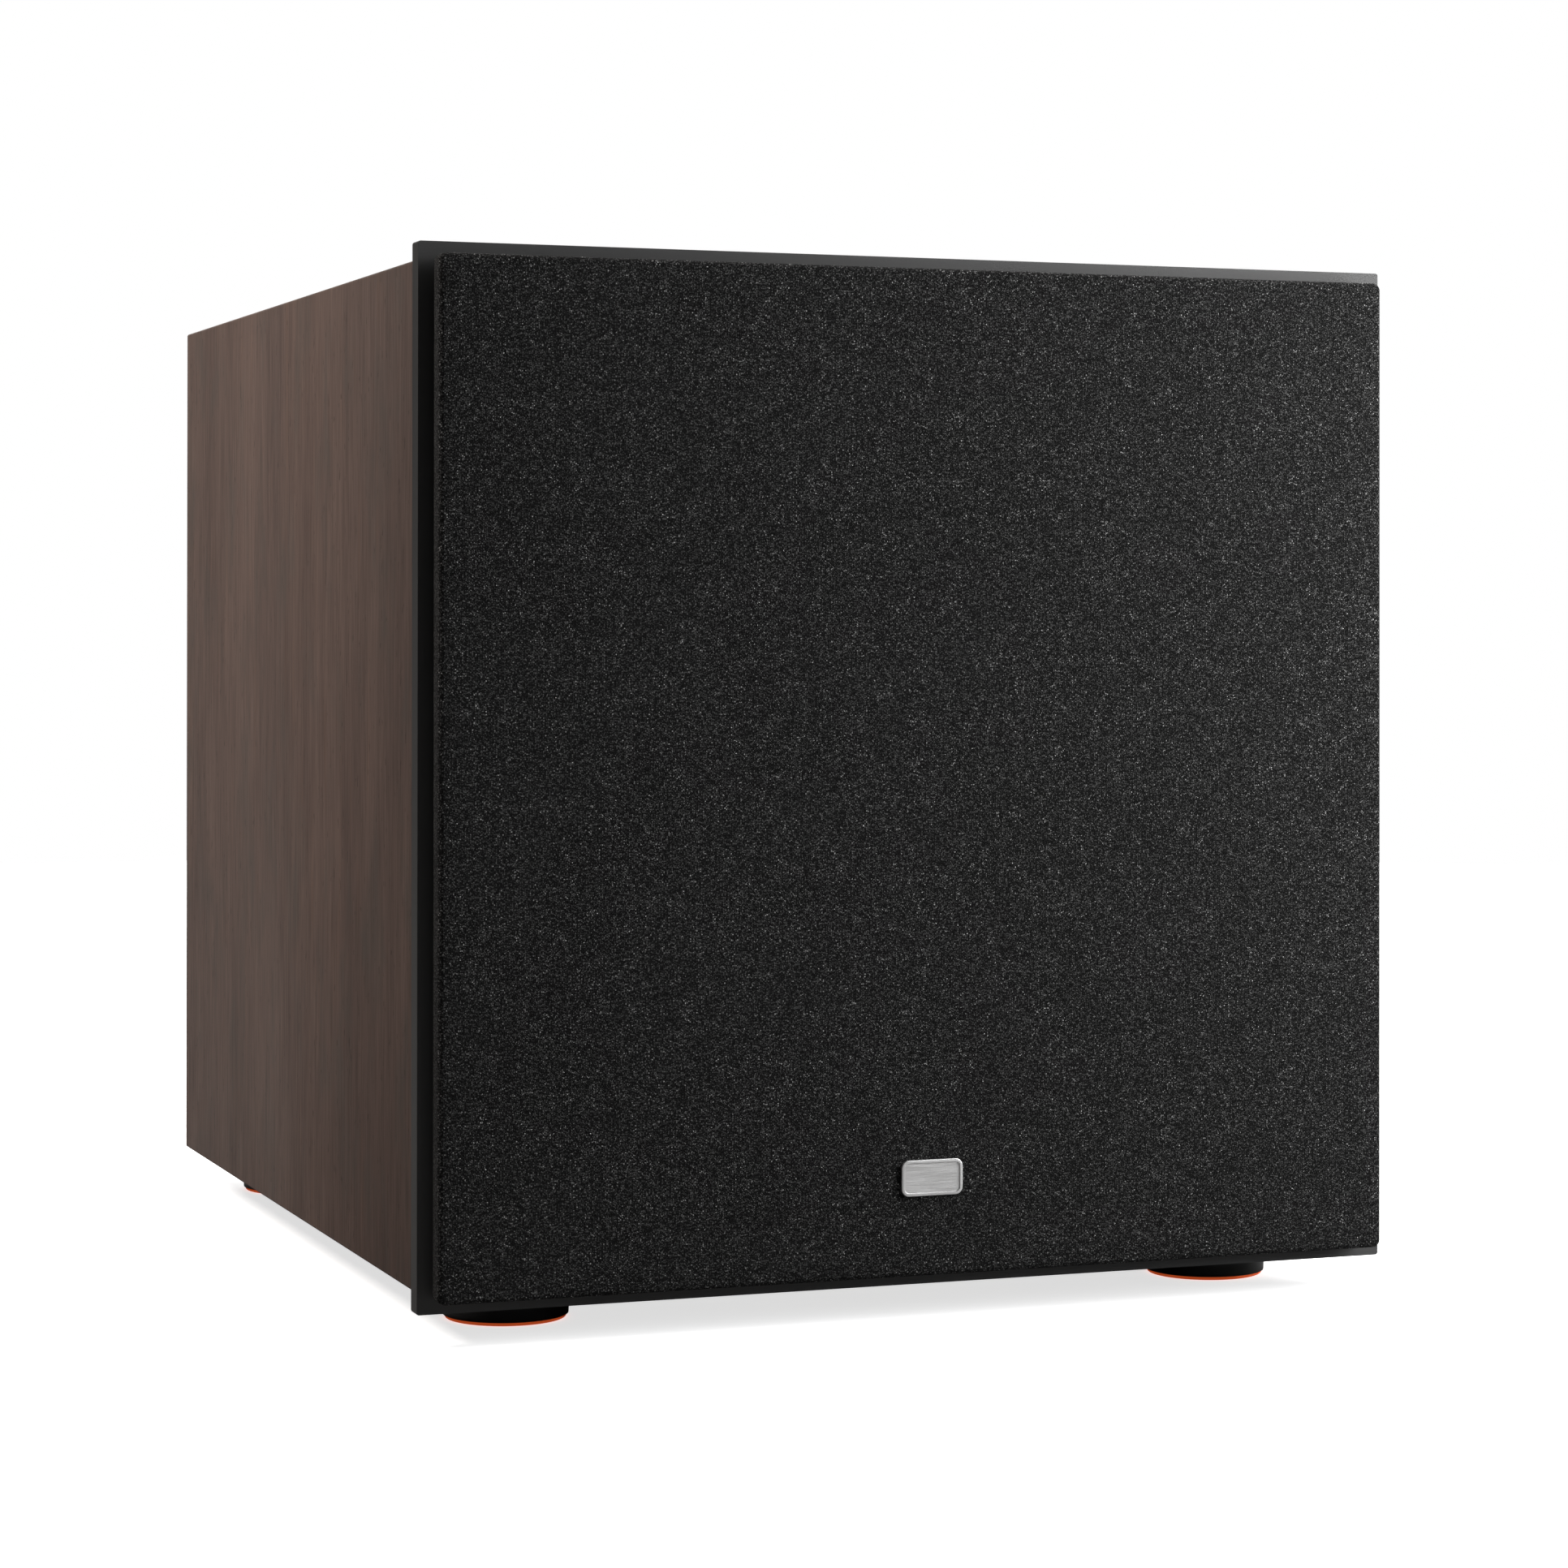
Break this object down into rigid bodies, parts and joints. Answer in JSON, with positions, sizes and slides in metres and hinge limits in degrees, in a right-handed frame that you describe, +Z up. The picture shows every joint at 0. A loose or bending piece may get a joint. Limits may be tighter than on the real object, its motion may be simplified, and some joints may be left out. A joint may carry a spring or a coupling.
{
  "type": "subwoofer",
  "caption": "Powered subwoofer: wood-wrapped cabinet on feet, black baffle, pull-off cloth grille over a 12-inch driver, rear port and plate amplifier.",
  "frame": {"origin": "on the floor, under the middle of the whole object's box", "axes": "+Z up, the grille faces -Y, +X to the right seen from the front"},
  "size_m": [0.4, 0.4794, 0.409],
  "materials": {
    "wood_wrap": "dark walnut-look vinyl, fine straight grain, satin",
    "satin_black": "satin black lacquer",
    "fibreboard": "raw medium density fibreboard",
    "wadding": "white polyester wadding",
    "black_plastic": "satin black moulded plastic",
    "orange_rubber": "orange soft rubber",
    "grille_cloth": "charcoal knitted acoustic cloth with pale flecks",
    "badge_metal": "brushed",
    "black_rubber": "matt black rubber",
    "cast_frame": "black powder coat on cast metal",
    "cone_fibre": "dark fibre cone",
    "plated_steel": "zinc plated",
    "ferrite": "sintered ferrite, matt",
    "copper": "enamelled copper wire",
    "spider_cloth": "resin-dipped cotton",
    "amp_black": "fine black powder coat",
    "circuit_green": "green solder mask",
    "winding_tape": "yellow polyester tape",
    "nickel": "nickel plate",
    "led_lens": "green tinted lens",
    "lead_sheath": "red lead sheath"
  },
  "bodies": {
    "cabinet": {"wood_wrap": "wood_wrap", "side_panel_left": "fibreboard", "side_panel_right": "fibreboard", "top_panel": "fibreboard", "bottom_panel": "fibreboard", "rear_panel": "wood_wrap", "front_board": "fibreboard", "front_baffle": "satin_black", "side_to_side_brace": "fibreboard", "top_to_bottom_brace": "fibreboard", "damping_wadding": "wadding", "port_tube": "black_plastic", "foot_front_left": "black_plastic", "foot_front_right": "black_plastic", "foot_rear_left": "black_plastic", "foot_rear_right": "black_plastic", "foot_pad_front_left": "orange_rubber", "foot_pad_front_right": "orange_rubber", "foot_pad_rear_left": "orange_rubber", "foot_pad_rear_right": "orange_rubber", "grille_socket_bottom_left": "black_rubber", "grille_socket_bottom_right": "black_rubber", "grille_socket_top_left": "black_rubber", "grille_socket_top_right": "black_rubber", "woofer_basket": "cast_frame", "woofer_gasket": "black_rubber", "top_plate": "plated_steel", "ring_magnet": "ferrite", "yoke": "plated_steel", "woofer_terminal": "black_plastic", "speaker_lead": "lead_sheath", "amp_plate": "amp_black", "amp_gasket": "black_rubber", "heatsink": "amp_black", "circuit_board": "circuit_green", "transformer": "winding_tape", "level_potentiometer": "plated_steel", "crossover_potentiometer": "plated_steel", "phase_switch_housing": "black_plastic", "mode_switch_housing": "black_plastic", "rocker_housing": "black_plastic", "power_inlet": "black_plastic", "input_jack_left": "nickel", "input_jack_right": "nickel", "status_light": "led_lens"},
    "grille": {"grille_frame": "black_plastic", "grille_cloth": "grille_cloth", "badge": "badge_metal"},
    "cone_assembly": {"cone": "cone_fibre", "dust_cap": "cone_fibre", "coil_former": "cone_fibre", "voice_coil": "copper", "surround": "black_rubber", "spider": "spider_cloth"},
    "level_knob": {"level_knob": "black_plastic"},
    "crossover_knob": {"crossover_knob": "black_plastic"},
    "phase_slider": {"phase_slider": "nickel"},
    "mode_slider": {"mode_slider": "nickel"},
    "power_rocker": {"power_rocker": "black_plastic"},
    "fuse_drawer": {"fuse_drawer": "black_plastic"}
  },
  "joints": [
    {"name": "grille_pull", "type": "slide", "parent": "cabinet", "child": "grille", "axis": [0, -1, 0], "range_m": [0, 0.08]},
    {"name": "cone_travel", "type": "slide", "parent": "cabinet", "child": "cone_assembly", "axis": [0, -1, 0], "range_m": [-0.008, 0.008], "stiffness_N_per_m": 2500, "deforming": ["surround", "spider"]},
    {"name": "level_turn", "type": "hinge", "parent": "cabinet", "child": "level_knob", "pos_m": [0.07, 0.2234, 0.215], "axis": [0, -1, 0], "range_deg": [-150, 150]},
    {"name": "crossover_turn", "type": "hinge", "parent": "cabinet", "child": "crossover_knob", "pos_m": [0.015, 0.2234, 0.215], "axis": [0, -1, 0], "range_deg": [-150, 150]},
    {"name": "phase_slide", "type": "slide", "parent": "cabinet", "child": "phase_slider", "axis": [-1, 0, 0], "range_m": [0, 0.0044]},
    {"name": "mode_slide", "type": "slide", "parent": "cabinet", "child": "mode_slider", "axis": [-1, 0, 0], "range_m": [0, 0.0044]},
    {"name": "rocker_tilt", "type": "hinge", "parent": "cabinet", "child": "power_rocker", "pos_m": [0.062, 0.2234, 0.135], "axis": [1, 0, 0], "range_deg": [0, 16]},
    {"name": "fuse_drawer_slide", "type": "slide", "parent": "cabinet", "child": "fuse_drawer", "axis": [0, 1, 0], "range_m": [0, 0.018]}
  ]
}
